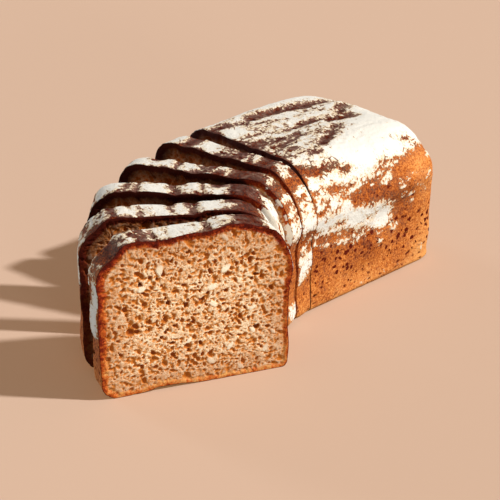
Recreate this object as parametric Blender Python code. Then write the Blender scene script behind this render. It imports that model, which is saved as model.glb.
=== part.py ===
"""A rye tin loaf: five slices fanned out before the uncut rest of the loaf.

Lengths are metres. The loaf stands on Z = 0 and lies along Y, with its visible long side at +X.
Every piece is first worked out in the whole loaf as it was baked, where Y = 0 is the cut face of
the rest and the slices lie at negative Y, so crown, walls and grooves run on from piece to piece.
Then each slice is turned and set down where it has slid to.
"""

import bpy
import bmesh
import numpy as np

MM = 0.001

# Cross-section of the loaf: its walls, crown, rounded shoulders and feet (half axes across, up)
WALL_RIGHT = 54.9 * MM
WALL_LEFT = 52.3 * MM
CROWN_HEIGHT = 90.2 * MM
SHOULDER_RIGHT = (25.0 * MM, 23.7 * MM)
SHOULDER_LEFT = (19.5 * MM, 23.0 * MM)
FOOT_RIGHT = (3.6 * MM, 3.6 * MM)
FOOT_LEFT = (7.8 * MM, 8.8 * MM)

# Dough that has swelled over the tin's rim on the right, and the slack middle of the crown
OVERHANG = 2.9 * MM
OVERHANG_HEIGHT = 59.0 * MM
OVERHANG_SPREAD = 9.0 * MM
CROWN_DIP = 0.5 * MM
CROWN_DIP_SPREAD = 17.0 * MM
CROWN_RISE = 0.9 * MM
CROWN_RISE_AT = 27.0 * MM

# Uncut rest: its length, rounded end walls in plan, falling crown and rounded lower edge
REST_LENGTH = 113.7 * MM
END_CORNER = 14.5 * MM
CROWN_FALL_START = 66.0 * MM
CROWN_FALL_FOOT = 52.0 * MM
CROWN_FALL_POWER = 3.1
SHOULDERS_FALL = (6.0 * MM, 3.5 * MM)
SHOULDERS_FALL_ALONG = (55.0 * MM, 105.0 * MM)
END_RISE = 2.0 * MM
END_RISE_AT = -5.0 * MM
END_RISE_SPREAD = 22.0 * MM
END_RISE_ALONG = (70.0 * MM, 100.0 * MM)
END_FOOT = 4.0 * MM
END_BULGE = 1.6 * MM
END_STEEPEST = np.radians(82)
END_SMOOTHINGS = 10

# Slices: where the middle of the front face's base stands, turn about +Z in degrees, thickness
FAN = {
    "slice_1": (69.0 * MM, -105.4 * MM, -67.0, 14.0 * MM),
    "slice_2": (44.9 * MM, -95.4 * MM, -55.7, 14.1 * MM),
    "slice_3": (25.5 * MM, -75.4 * MM, -41.9, 13.4 * MM),
    "slice_4": (11.3 * MM, -48.0 * MM, -23.8, 11.6 * MM),
    "slice_5": (2.9 * MM, -21.8 * MM, -8.2, 13.0 * MM),
}
KERF = 0.5 * MM

# The middle of the whole object's plan, which is set down on the frame's origin
PLAN_MIDDLE = (19.0 * MM, -19.6 * MM)

# Grooves between the floury plates of the crown: start and end (distance round the outline from
# the crown's middle, distance along the loaf), half width and depth
GROOVES = (
    ((-31 * MM, 0 * MM), (-29 * MM, 14 * MM), 3.4 * MM, 0.9 * MM),
    ((-28 * MM, 16 * MM), (-25 * MM, 24 * MM), 2.6 * MM, 0.8 * MM),
    ((-30 * MM, 32 * MM), (-27 * MM, 57 * MM), 3.6 * MM, 1.0 * MM),
    ((-27 * MM, 57 * MM), (-19 * MM, 95 * MM), 3.6 * MM, 1.1 * MM),
    ((5 * MM, 0 * MM), (3 * MM, 15 * MM), 3.0 * MM, 0.8 * MM),
    ((21 * MM, 2 * MM), (10 * MM, 35 * MM), 3.0 * MM, 0.8 * MM),
    ((-1 * MM, 41 * MM), (1 * MM, 62 * MM), 3.6 * MM, 0.9 * MM),
    ((6 * MM, 65 * MM), (9 * MM, 80 * MM), 4.6 * MM, 0.9 * MM),
    ((30 * MM, 33 * MM), (16 * MM, 61 * MM), 3.4 * MM, 0.9 * MM),
    ((-2 * MM, 82 * MM), (-10 * MM, 98 * MM), 3.2 * MM, 0.9 * MM),
    ((-29 * MM, -13 * MM), (-28 * MM, -1 * MM), 4.4 * MM, 0.9 * MM),
    ((29 * MM, -13 * MM), (24 * MM, -1 * MM), 5.0 * MM, 0.6 * MM),
    ((-15 * MM, -25 * MM), (-16 * MM, -14 * MM), 1.6 * MM, 0.7 * MM),
    ((-2 * MM, -25 * MM), (0 * MM, -14 * MM), 2.8 * MM, 0.8 * MM),
    ((24 * MM, -25 * MM), (23 * MM, -14 * MM), 6.0 * MM, 0.6 * MM),
    ((47 * MM, -25 * MM), (46 * MM, -14 * MM), 4.0 * MM, 0.5 * MM),
    ((-24 * MM, -39 * MM), (-24 * MM, -26 * MM), 1.4 * MM, 0.6 * MM),
    ((-2 * MM, -39 * MM), (-4 * MM, -26 * MM), 2.8 * MM, 0.8 * MM),
    ((36 * MM, -39 * MM), (33 * MM, -26 * MM), 9.0 * MM, 0.6 * MM),
    ((66 * MM, -39 * MM), (65 * MM, -26 * MM), 3.6 * MM, 0.5 * MM),
    ((-34 * MM, -54 * MM), (-33 * MM, -40 * MM), 2.6 * MM, 0.8 * MM),
    ((10 * MM, -54 * MM), (12 * MM, -40 * MM), 2.6 * MM, 0.9 * MM),
    ((42 * MM, -54 * MM), (44 * MM, -40 * MM), 9.0 * MM, 0.6 * MM),
    ((-42 * MM, -68 * MM), (-44 * MM, -55 * MM), 3.0 * MM, 0.7 * MM),
    ((-20 * MM, -68 * MM), (-19 * MM, -58 * MM), 1.4 * MM, 0.6 * MM),
    ((9 * MM, -66 * MM), (12 * MM, -55 * MM), 2.8 * MM, 0.9 * MM),
    ((36 * MM, -68 * MM), (36 * MM, -55 * MM), 9.0 * MM, 0.6 * MM),
    ((-47 * MM, -68 * MM), (-43 * MM, -44 * MM), 7.0 * MM, 1.8 * MM),
)

# Lumps of the crust: height, and the shortest and longest wave that they are made of
LUMP_HEIGHT = 0.55 * MM
LUMP_WAVES = (15.0 * MM, 48.0 * MM)
LUMP_COUNT = 7
LUMPS_START_HEIGHT = 5.0 * MM

# Hollow in the base of the front slices, which leaves their lower edge wavy
BASE_HOLLOW = 1.8 * MM
BASE_HOLLOW_AT = -13.0 * MM
BASE_HOLLOW_SPREAD = 13.0 * MM
BASE_HOLLOW_FADES = (-62.0 * MM, -40.0 * MM)

# Cut face of the front slice: the crust is a rim that stands proud of the holed crumb
CRUST_THICKNESS = 1.9 * MM
CRUMB_SUNK = 0.45 * MM
PORE_COUNT = 130
PORE_SPREAD = (1.8 * MM, 3.3 * MM)
PORE_DEPTH = (0.5 * MM, 1.3 * MM)

# Fineness: points on a corner, cells from the middle of a face to its edge, rows along each piece
ARC_POINTS = 24
FRONT_SLICE_CELLS = 17
SLICE_CELLS = 11
REST_CELLS = 12
SLICE_ROWS = 4
REST_ROWS = 9
END_ROWS = 10
CAP_ROWS = 4
WELD_DISTANCE = 0.00001

CRUST_COLOUR = "BC764A"
CRUMB_COLOUR = "D59D6C"
CRUST_ROUGHNESS = 0.75
CRUMB_ROUGHNESS = 0.9


def smooth_step(value, low, high):
    """0 below low, 1 above high, and an S-curve between them."""
    share = np.clip((value - low) / (high - low), 0.0, 1.0)
    return share * share * (3.0 - 2.0 * share)


def bell(distance, spread):
    """A bell curve, 1 at the middle."""
    return np.exp(-(distance / spread) ** 2)


def corner_arc(wall, level, half_axes, start, end):
    """A quarter ellipse inside the corner where a wall meets the base or the crown."""
    across, up = half_axes
    angle = np.radians(np.linspace(start, end, ARC_POINTS))
    centre_x = wall - np.sign(wall) * across
    centre_z = level - up if level > 0.0 else up
    return np.column_stack((centre_x + across * np.cos(angle), centre_z + up * np.sin(angle)))


def section(count):
    """The cross-section as count evenly spaced points from the base's middle round by the right.

    Returns x, z and each point's distance round the outline from the crown's middle, which grows
    to the right.
    """
    middle = np.zeros((1, 2))
    corners = (
        middle,
        corner_arc(WALL_RIGHT, 0.0, FOOT_RIGHT, -90, 0),
        corner_arc(WALL_RIGHT, CROWN_HEIGHT, SHOULDER_RIGHT, 0, 90),
        corner_arc(-WALL_LEFT, CROWN_HEIGHT, SHOULDER_LEFT, 90, 180),
        corner_arc(-WALL_LEFT, 0.0, FOOT_LEFT, 180, 270),
        middle,
    )
    path = np.concatenate(corners)
    steps = np.hypot(*np.diff(path, axis=0).T)
    travelled = np.concatenate(([0.0], np.cumsum(steps)))
    place = np.arange(count) / count * travelled[-1]
    x = np.interp(place, travelled, path[:, 0])
    z = np.interp(place, travelled, path[:, 1])
    shoulder_end = travelled[2 * ARC_POINTS]
    crown_place = shoulder_end + WALL_RIGHT - SHOULDER_RIGHT[0]
    return x, z, crown_place - place


def swelled(x, z):
    """The outline with the overhang on the right wall and the uneven crown."""
    on_right = smooth_step(x, 20 * MM, 50 * MM)
    x = x + OVERHANG * bell(z - OVERHANG_HEIGHT, OVERHANG_SPREAD) * on_right
    on_crown = smooth_step(z, 70 * MM, 88 * MM)
    z = z - CROWN_DIP * bell(x, CROWN_DIP_SPREAD) * on_crown
    z = z + CROWN_RISE * bell(x - CROWN_RISE_AT, CROWN_DIP_SPREAD) * on_crown
    return x, z


def grooves(outline_place, y):
    """Depth of the grooves: a rounded trough round each groove's straight line."""
    depth = np.zeros(np.broadcast(outline_place, y).shape)
    for start, end, half_width, groove_depth in GROOVES:
        run = np.subtract(end, start)
        across = outline_place - start[0]
        along = y - start[1]
        share = np.clip((across * run[0] + along * run[1]) / np.dot(run, run), 0.0, 1.0)
        distance = np.hypot(across - share * run[0], along - share * run[1])
        depth = np.maximum(depth, groove_depth * bell(distance, half_width))
    return depth


def lumps(outline_place, y):
    """Low lumps of the crust: a sum of waves that run in seeded random directions."""
    draw = np.random.default_rng(5)
    height = np.zeros(np.broadcast(outline_place, y).shape)
    for _ in range(LUMP_COUNT):
        wave = draw.uniform(*LUMP_WAVES)
        heading, phase = draw.uniform(0.0, 2.0 * np.pi, 2)
        travelled = outline_place * np.cos(heading) + y * np.sin(heading)
        height = height + np.sin(2.0 * np.pi * travelled / wave + phase)
    return height * LUMP_HEIGHT / np.sqrt(LUMP_COUNT)


def base_hollow(x, y):
    """How far the base of the front slices is lifted off the table."""
    fade = 1.0 - smooth_step(y, *BASE_HOLLOW_FADES)
    return BASE_HOLLOW * bell(x - BASE_HOLLOW_AT, BASE_HOLLOW_SPREAD) * fade


def outward(rows):
    """Unit normals of a grid of rows, each of which is a closed outline."""
    along = np.gradient(rows, axis=0)
    around = np.roll(rows, -1, axis=1) - np.roll(rows, 1, axis=1)
    normal = np.cross(along, around)
    return normal / np.linalg.norm(normal, axis=2, keepdims=True)


def crust(stations, count):
    """The crust as a grid: one outline of the loaf as baked for each station along it.

    Past CROWN_FALL_START the crown falls to CROWN_FALL_FOOT along a superellipse, its shoulders
    sooner than its middle, the walls close in round END_CORNER and the base lifts round END_FOOT.
    """
    x, z, outline_place = section(count)
    x, z = swelled(x, z)
    y = np.asarray(stations)[:, None]

    fall = np.clip((y - CROWN_FALL_START) / (REST_LENGTH - CROWN_FALL_START), 0.0, 1.0)
    kept = (1.0 - fall ** CROWN_FALL_POWER) ** (1.0 / CROWN_FALL_POWER)
    shoulder_fall = np.where(x < 0.0, *SHOULDERS_FALL) * (x / WALL_RIGHT) ** 2
    change = END_RISE * bell(x - END_RISE_AT, END_RISE_SPREAD) * smooth_step(y, *END_RISE_ALONG)
    change = change - shoulder_fall * smooth_step(y, *SHOULDERS_FALL_ALONG)
    above_foot = np.maximum(z - CROWN_FALL_FOOT, 0.0)
    lifted = (above_foot + change * smooth_step(above_foot, 0.0, 30.0 * MM)) * kept
    height = np.where(z > CROWN_FALL_FOOT, CROWN_FALL_FOOT + lifted, z)

    past_foot = np.clip(y - REST_LENGTH + END_FOOT, 0.0, END_FOOT)
    lift = END_FOOT - np.sqrt(END_FOOT ** 2 - past_foot ** 2)
    height = height + lift * np.clip(1.0 - height / CROWN_FALL_FOOT, 0.0, 1.0)

    past_corner = np.clip(y - REST_LENGTH + END_CORNER, 0.0, END_CORNER)
    inset = END_CORNER - np.sqrt(END_CORNER ** 2 - past_corner ** 2)
    width = x * (1.0 - inset / WALL_RIGHT)

    rows = np.stack(np.broadcast_arrays(width, y, height), axis=2)
    relief = lumps(outline_place, y) - grooves(outline_place, y)
    relief = relief * smooth_step(height, 0.0, LUMPS_START_HEIGHT) * smooth_step(kept, 0.1, 0.6)
    rows = rows + outward(rows) * relief[..., None]
    on_base = 1.0 - smooth_step(height, 0.0, 2.0 * FOOT_RIGHT[1])
    rows[..., 2] += base_hollow(width, y) * on_base
    return rows


def strip_faces(first, second):
    """Four-cornered faces between two closed rings of vertices, facing out as Y grows."""
    faces = []
    for here in range(len(first)):
        following = (here + 1) % len(first)
        faces.append((first[here], second[here], second[following], first[following]))
    return faces


class Shell:
    """Vertices and faces of one piece, gathered ring by ring."""

    def __init__(self):
        self.points = []
        self.crust_faces = []
        self.crumb_faces = []

    def add(self, points):
        """Adds points and returns their numbers."""
        start = len(self.points)
        self.points.extend(tuple(point) for point in points)
        return list(range(start, len(self.points)))


def add_crust(shell, rows):
    """The crust's band; returns its first and last ring."""
    rings = [shell.add(row) for row in rows]
    for first, second in zip(rings, rings[1:]):
        shell.crust_faces.extend(strip_faces(first, second))
    return rings[0], rings[-1]


def drawn_in(ring, inset):
    """A ring drawn in towards its middle by about inset on every side."""
    middle = ring.mean(axis=0)
    reach = ring - middle
    distance = np.linalg.norm(reach, axis=1, keepdims=True)
    return ring - reach / distance * inset


def add_rim(shell, edge_ring, edge, inward):
    """The crust's rim on a cut face and the step down to the crumb; returns the crumb's edge.

    inward is 1 on a front face, whose crumb lies towards +Y, and -1 on a back face.
    """
    rim_ring = shell.add(drawn_in(edge, CRUST_THICKNESS))
    crumb_edge = drawn_in(edge, CRUST_THICKNESS + CRUMB_SUNK)
    crumb_edge[:, 1] += inward * CRUMB_SUNK
    crumb_ring = shell.add(crumb_edge)
    for inner, outer, faces in (
        (rim_ring, edge_ring, shell.crust_faces),
        (crumb_ring, rim_ring, shell.crumb_faces),
    ):
        pair = (inner, outer) if inward > 0 else (outer, inner)
        faces.extend(strip_faces(*pair))
    return crumb_ring, crumb_edge


def add_plain_crumb(shell, edge_ring, edge, inward):
    """A cut face with a flat crumb."""
    crumb_ring, _ = add_rim(shell, edge_ring, edge, inward)
    order = crumb_ring if inward > 0 else crumb_ring[::-1]
    shell.crumb_faces.append(tuple(order))


def face_grid(edge, cells):
    """A square grid stretched over a face: its ring number k has 8k points at even shares of the edge.

    Returns the points as a (2 cells + 1) by (2 cells + 1) grid, rows upwards and columns to +X.
    """
    steps = np.arange(-cells, cells + 1)
    column, row = np.meshgrid(steps, steps)
    ring = np.maximum(np.maximum(abs(column), abs(row)), 1)
    at_foot = row == -ring
    at_right = (column == ring) & ~at_foot
    at_top = (row == ring) & ~at_right
    around = np.where(at_foot, column, np.where(at_right, 2 * ring + row, 4 * ring - column))
    around = np.where(at_foot | at_right | at_top, around, 6 * ring - row)
    share = np.mod(around / (8.0 * ring), 1.0)

    closed = np.vstack((edge, edge[:1]))
    places = np.arange(len(closed)) / len(edge)
    target = np.stack([np.interp(share, places, closed[:, axis]) for axis in range(3)], axis=2)
    middle = edge.mean(axis=0)
    size = np.maximum(abs(column), abs(row)) / cells
    return middle + (target - middle) * size[..., None]


def pores(points, edge_share):
    """Depth of the larger holes of the crumb, scattered at random, none in the crust's rim."""
    draw = np.random.default_rng(11)
    x, z = points[..., 0], points[..., 2]
    depth = np.zeros(x.shape)
    for _ in range(PORE_COUNT):
        centre_x = draw.uniform(x.min(), x.max())
        centre_z = draw.uniform(z.min(), z.max())
        spread = draw.uniform(*PORE_SPREAD)
        deep = draw.uniform(*PORE_DEPTH)
        distance = np.hypot(x - centre_x, z - centre_z)
        depth = np.maximum(depth, deep * bell(distance, spread))
    return depth * edge_share


def add_holed_crumb(shell, edge_ring, edge, cells):
    """The front cut face, whose larger holes are hollows in the crumb."""
    _, crumb_edge = add_rim(shell, edge_ring, edge, 1)
    grid = face_grid(crumb_edge, cells)
    steps = np.arange(-cells, cells + 1)
    size = np.maximum(abs(steps[:, None]), abs(steps[None, :])) / cells
    edge_share = 1.0 - smooth_step(size, 0.9, 1.0)
    grid[..., 1] += pores(grid, edge_share)
    numbers = np.array(shell.add(grid.reshape(-1, 3))).reshape(grid.shape[:2])
    for row in range(2 * cells):
        for column in range(2 * cells):
            corners = numbers[row:row + 2, column:column + 2].ravel()
            shell.crumb_faces.append((corners[0], corners[1], corners[3], corners[2]))


def rounder(ring):
    """A ring with each point moved to the mean of itself and its neighbours, many times."""
    for _ in range(END_SMOOTHINGS):
        ring = (np.roll(ring, 1, axis=0) + ring + np.roll(ring, -1, axis=0)) / 3.0
    return ring


def add_end(shell, last_ring, last_row):
    """The rest's far end: rounder and rounder rings that close in on its middle and swell out."""
    middle = last_row.mean(axis=0)
    ring = last_ring
    outline = last_row
    for step in range(1, CAP_ROWS + 1):
        size = 1.0 - step / (CAP_ROWS + 1.0)
        outline = rounder(outline)
        row = middle + (outline - middle) * size
        row[:, 1] += END_BULGE * (1.0 - size ** 2)
        inner = shell.add(row)
        shell.crust_faces.extend(strip_faces(ring, inner))
        ring = inner
    shell.crust_faces.append(tuple(reversed(ring)))


def linear(colour):
    """An sRGB hex colour as linear red, green, blue and alpha."""
    parts = [int(colour[i:i + 2], 16) / 255.0 for i in (0, 2, 4)]
    return [((part + 0.055) / 1.055) ** 2.4 for part in parts] + [1.0]


def baked_material(name, colour, roughness):
    """A plain dull material."""
    material = bpy.data.materials.new(name)
    material.use_nodes = True
    shader = material.node_tree.nodes["Principled BSDF"]
    shader.inputs["Base Color"].default_value = linear(colour)
    shader.inputs["Roughness"].default_value = roughness
    shader.inputs["Metallic"].default_value = 0.0
    return material


def make_object(name, shell):
    """One closed object from a shell, with a crust and a crumb material of its own."""
    mesh = bpy.data.meshes.new(name)
    faces = shell.crust_faces + shell.crumb_faces
    mesh.from_pydata(shell.points, [], faces)
    mesh.materials.append(baked_material(name + "_crust", CRUST_COLOUR, CRUST_ROUGHNESS))
    mesh.materials.append(baked_material(name + "_crumb", CRUMB_COLOUR, CRUMB_ROUGHNESS))
    for polygon in mesh.polygons[len(shell.crust_faces):]:
        polygon.material_index = 1

    edit = bmesh.new()
    edit.from_mesh(mesh)
    bmesh.ops.remove_doubles(edit, verts=edit.verts, dist=WELD_DISTANCE)
    edit.to_mesh(mesh)
    edit.free()
    mesh.shade_smooth()
    mesh.set_sharp_from_angle(angle=np.radians(40))
    made = bpy.data.objects.new(name, mesh)
    bpy.context.scene.collection.objects.link(made)
    return made


def make_slice(name, front_y, holed):
    """One slice, cut from the loaf as baked at front_y and set down at its place in the fan."""
    x, y, turn, thickness = FAN[name]
    cells = FRONT_SLICE_CELLS if holed else SLICE_CELLS
    stations = front_y + np.linspace(0.0, thickness, SLICE_ROWS)
    rows = crust(stations, 8 * cells)
    rows[..., 1] -= front_y
    shell = Shell()
    front_ring, back_ring = add_crust(shell, rows)
    if holed:
        add_holed_crumb(shell, front_ring, rows[0], cells)
    else:
        add_plain_crumb(shell, front_ring, rows[0], 1)
    add_plain_crumb(shell, back_ring, rows[-1], -1)
    made = make_object(name, shell)
    made.location = (x - PLAN_MIDDLE[0], y - PLAN_MIDDLE[1], 0.0)
    made.rotation_euler = (0.0, 0.0, np.radians(-turn))
    return made


def make_slices():
    """The five slices, cut one after another from the rest's face towards the front."""
    front_y = 0.0
    for name in reversed(FAN):
        front_y -= FAN[name][3] + KERF
        make_slice(name, front_y, holed=name == "slice_1")


def make_rest():
    """The uncut rest of the loaf, from its cut face to its rounded far end."""
    steepness = np.linspace(0.0, END_STEEPEST, END_ROWS + 1)[1:]
    fall_length = REST_LENGTH - CROWN_FALL_START
    ending = CROWN_FALL_START + fall_length * np.sin(steepness) ** (2.0 / CROWN_FALL_POWER)
    stations = np.concatenate((np.linspace(0.0, CROWN_FALL_START, REST_ROWS), ending))
    rows = crust(stations, 8 * REST_CELLS)
    shell = Shell()
    front_ring, last_ring = add_crust(shell, rows)
    add_plain_crumb(shell, front_ring, rows[0], 1)
    add_end(shell, last_ring, rows[-1])
    made = make_object("loaf", shell)
    made.location = (-PLAN_MIDDLE[0], -PLAN_MIDDLE[1], 0.0)
    return made


for old in list(bpy.data.objects):
    bpy.data.objects.remove(old, do_unlink=True)
make_rest()
make_slices()
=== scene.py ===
"""A floured rye tin loaf, its first five slices fanned out before the uncut rest.

Lengths are metres, +Z is up. Each piece is first worked out in the loaf as it was baked, where Y = 0
is the cut face of the rest and the slices lie at negative Y. A place on the crust is given by two
distances: round the outline from the crown's middle, growing to the right, and along the loaf.
"""

import bpy
import numpy as np
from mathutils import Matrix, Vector


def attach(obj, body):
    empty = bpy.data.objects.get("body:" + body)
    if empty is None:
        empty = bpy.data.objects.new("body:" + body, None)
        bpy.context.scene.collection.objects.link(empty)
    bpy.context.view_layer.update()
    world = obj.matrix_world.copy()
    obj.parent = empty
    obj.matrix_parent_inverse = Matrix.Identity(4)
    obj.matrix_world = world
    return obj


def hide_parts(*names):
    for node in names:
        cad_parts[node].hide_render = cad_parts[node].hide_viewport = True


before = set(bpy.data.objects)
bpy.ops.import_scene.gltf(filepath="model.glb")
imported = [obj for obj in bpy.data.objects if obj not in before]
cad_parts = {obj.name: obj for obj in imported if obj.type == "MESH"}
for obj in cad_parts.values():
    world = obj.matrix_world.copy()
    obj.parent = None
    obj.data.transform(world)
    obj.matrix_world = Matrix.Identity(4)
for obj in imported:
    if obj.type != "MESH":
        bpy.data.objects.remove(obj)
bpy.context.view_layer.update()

# Uncut rest of the loaf
# Rye dough proofed and baked in a straight tin: the walls and base are flat where the tin held
# them, the crown rose above the rim and burst along its length into floury plates and bare
# grooves. The first slices are cut off square, so the near end shows crumb.

MM = 0.001


def smooth_step(value, low, high):
    """0 below low, 1 above high, and the S-curve 3t² - 2t³ between them."""
    share = np.clip((value - low) / (high - low), 0.0, 1.0)
    return share * share * (3.0 - 2.0 * share)


def bell(distance, spread):
    """A bell curve: e to the power of minus the square of distance over spread."""
    return np.exp(-(distance / spread) ** 2)


def random_share(across, along, up, seed):
    """A number from 0 to 1 for each lattice point: its three whole numbers are multiplied by large
    odd numbers and added, then mixed by shifting and multiplying, and the last 24 bits are kept."""
    mixed = across * 374761393 + along * 668265263 + up * 1440662683 + seed * 1013904223
    mixed = (mixed ^ (mixed >> 13)) * 1274126177
    mixed = mixed ^ (mixed >> 16)
    return (mixed & 0xFFFFFF) / 0xFFFFFF


def noise(points, size, seed):
    """Smooth noise from -1 to 1: random numbers at the corners of a cubic lattice of that size,
    blended along each axis with the S-curve 3t² - 2t³. The seed also shifts the lattice, by 0.37 of
    a cell for each step, so that no two noises line up."""
    place = points / size + 0.37 * seed
    corner = np.floor(place).astype(np.int64)
    part = place - corner
    part = part * part * (3.0 - 2.0 * part)
    total = np.zeros(points.shape[:-1])
    for step in np.ndindex(2, 2, 2):
        weight = np.prod(np.where(step, part, 1.0 - part), axis=-1)
        at = corner + step
        total += weight * random_share(at[..., 0], at[..., 1], at[..., 2], seed)
    return 2.0 * total - 1.0


def rough_noise(points, size, octaves, seed):
    """A sum of noises, each with half the size and half the height of the one before."""
    total = np.zeros(points.shape[:-1])
    for octave in range(octaves):
        total += noise(points, size / 2 ** octave, seed + octave) / 2 ** octave
    return total


# Cross-section: each wall's distance from the base's middle, and each corner's half axes, across
# and up
WALL_RIGHT = 54.9 * MM
WALL_LEFT = 52.3 * MM
CROWN_HEIGHT = 90.2 * MM
SHOULDER_RIGHT = (25.0 * MM, 23.7 * MM)
SHOULDER_LEFT = (19.5 * MM, 23.0 * MM)
FOOT_RIGHT = (3.6 * MM, 3.6 * MM)
FOOT_LEFT = (7.8 * MM, 8.8 * MM)
ARC_POINTS = 24


def corner_arc(wall, level, half_axes, start, end):
    """A quarter ellipse inside the corner where a wall meets the base or the crown."""
    across, up = half_axes
    angle = np.radians(np.linspace(start, end, ARC_POINTS))
    centre_x = wall - np.sign(wall) * across
    centre_z = level - up if level > 0.0 else up
    return np.column_stack((centre_x + across * np.cos(angle), centre_z + up * np.sin(angle)))


def section(count):
    """The cross-section as count evenly spaced points from the base's middle round by the right:
    four quarter ellipses joined by straight lines. Also gives each point's distance round the
    outline from the crown's middle."""
    middle = np.zeros((1, 2))
    path = np.concatenate((
        middle,
        corner_arc(WALL_RIGHT, 0.0, FOOT_RIGHT, -90, 0),
        corner_arc(WALL_RIGHT, CROWN_HEIGHT, SHOULDER_RIGHT, 0, 90),
        corner_arc(-WALL_LEFT, CROWN_HEIGHT, SHOULDER_LEFT, 90, 180),
        corner_arc(-WALL_LEFT, 0.0, FOOT_LEFT, 180, 270),
        middle,
    ))
    steps = np.hypot(*np.diff(path, axis=0).T)
    travelled = np.concatenate(([0.0], np.cumsum(steps)))
    place = np.arange(count) / count * travelled[-1]
    x = np.interp(place, travelled, path[:, 0])
    z = np.interp(place, travelled, path[:, 1])
    crown_place = travelled[2 * ARC_POINTS] + WALL_RIGHT - SHOULDER_RIGHT[0]
    return x, z, crown_place - place


# Overhang of the right wall above the tin's rim, and the uneven crown
OVERHANG = 2.9 * MM
OVERHANG_HEIGHT = 59.0 * MM
OVERHANG_SPREAD = 9.0 * MM
OVERHANG_SIDE = (20.0 * MM, 50.0 * MM)
CROWN_DIP = 0.5 * MM
CROWN_DIP_SPREAD = 17.0 * MM
CROWN_RISE = 0.9 * MM
CROWN_RISE_AT = 27.0 * MM
CROWN_LEVELS = (70.0 * MM, 88.0 * MM)


def swelled(x, z):
    """The outline with the overhang on the right wall and the uneven crown, each a bell curve."""
    on_right = smooth_step(x, *OVERHANG_SIDE)
    x = x + OVERHANG * bell(z - OVERHANG_HEIGHT, OVERHANG_SPREAD) * on_right
    on_crown = smooth_step(z, *CROWN_LEVELS)
    z = z - CROWN_DIP * bell(x, CROWN_DIP_SPREAD) * on_crown
    z = z + CROWN_RISE * bell(x - CROWN_RISE_AT, CROWN_DIP_SPREAD) * on_crown
    return x, z


# Bare grooves of the crown, in millimetres: start and end (round the outline, along the loaf),
# half width and depth
GROOVES = (
    ((-31, 0), (-29, 14), 3.4, 0.9),
    ((-28, 16), (-25, 24), 2.6, 0.8),
    ((-29, 32), (-27, 57), 4.4, 1.0),
    ((-27, 57), (-19, 95), 4.2, 1.1),
    ((5, 0), (3, 15), 3.0, 0.8),
    ((21, 2), (10, 35), 3.0, 0.8),
    ((-1, 41), (1, 62), 3.6, 0.9),
    ((5, 66), (8, 80), 5.4, 0.9),
    ((30, 33), (16, 61), 3.4, 0.9),
    ((-2, 82), (-10, 98), 3.2, 1.3),
    ((-29, -13), (-28, -1), 4.4, 0.9),
    ((29, -13), (24, -1), 6.0, 0.6),
    ((-15, -25), (-16, -14), 1.6, 0.7),
    ((-2, -25), (0, -14), 2.8, 0.8),
    ((23, -25), (23, -14), 6.4, 0.6),
    ((47, -25), (46, -14), 4.0, 0.5),
    ((-24, -39), (-24, -26), 1.4, 0.6),
    ((-2, -39), (-4, -26), 2.8, 0.8),
    ((36, -39), (33, -26), 9.0, 0.6),
    ((67, -34), (65, -26), 2.2, 0.5),
    ((-34, -54), (-33, -40), 2.6, 0.8),
    ((10, -54), (12, -40), 2.6, 0.9),
    ((40, -54), (42, -40), 7.6, 0.6),
    ((-42, -68), (-44, -55), 3.0, 0.7),
    ((-20, -68), (-19, -58), 1.4, 0.6),
    ((9, -66), (12, -55), 2.8, 0.9),
    ((36, -68), (36, -55), 9.0, 0.6),
)

# A hollow under the flour of the left shoulder of the front slices, like a groove
SHOULDER_HOLLOW = ((-47, -68), (-43, -44), 7.0, 1.8)

# What a place counts that is inside no streak, in millimetres
FAR_OUTSIDE = -99.0


def streak_distance(round_mm, along_mm, streak):
    """Distance in millimetres from a streak's straight middle line."""
    start, end = streak[0], streak[1]
    run = np.subtract(end, start)
    across = round_mm - start[0]
    along = along_mm - start[1]
    share = np.clip((across * run[0] + along * run[1]) / np.dot(run, run), 0.0, 1.0)
    return np.hypot(across - share * run[0], along - share * run[1])


def inside_streaks(round_mm, along_mm, streaks):
    """How far inside the nearest edge of any of the streaks a place lies, in millimetres."""
    reach = np.full(np.broadcast(round_mm, along_mm).shape, FAR_OUTSIDE)
    for streak in streaks:
        reach = np.maximum(reach, streak[2] - streak_distance(round_mm, along_mm, streak))
    return reach


def grooves(round_mm, along_mm):
    """Depth of the grooves: a rounded trough round each groove's straight line."""
    depth = np.zeros(np.broadcast(round_mm, along_mm).shape)
    for groove in GROOVES + (SHOULDER_HOLLOW,):
        distance = streak_distance(round_mm, along_mm, groove)
        depth = np.maximum(depth, groove[3] * MM * bell(distance, groove[2]))
    return depth


# Lumps of the crust: height, shortest and longest wave
LUMP_HEIGHT = 0.55 * MM
LUMP_WAVES = (15.0 * MM, 48.0 * MM)
LUMP_COUNT = 7
LUMP_SEED = 5


def lumps(outline_place, y):
    """Low lumps of the crust: a sum of waves that run in seeded random directions."""
    draw = np.random.default_rng(LUMP_SEED)
    height = np.zeros(np.broadcast(outline_place, y).shape)
    for _ in range(LUMP_COUNT):
        wave = draw.uniform(*LUMP_WAVES)
        heading, phase = draw.uniform(0.0, 2.0 * np.pi, 2)
        travelled = outline_place * np.cos(heading) + y * np.sin(heading)
        height = height + np.sin(2.0 * np.pi * travelled / wave + phase)
    return height * LUMP_HEIGHT / np.sqrt(LUMP_COUNT)


# Hollow of the base: depth, middle across the loaf, spread, and where along it the hollow ends
BASE_HOLLOW = 1.8 * MM
BASE_HOLLOW_AT = -13.0 * MM
BASE_HOLLOW_SPREAD = 13.0 * MM
BASE_HOLLOW_FADES = (-62.0 * MM, -40.0 * MM)


def base_hollow(x, y):
    """How far the base of the front slices is lifted off the floor: a bell curve across the loaf
    that fades out along it."""
    fade = 1.0 - smooth_step(y, *BASE_HOLLOW_FADES)
    return BASE_HOLLOW * bell(x - BASE_HOLLOW_AT, BASE_HOLLOW_SPREAD) * fade


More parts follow.
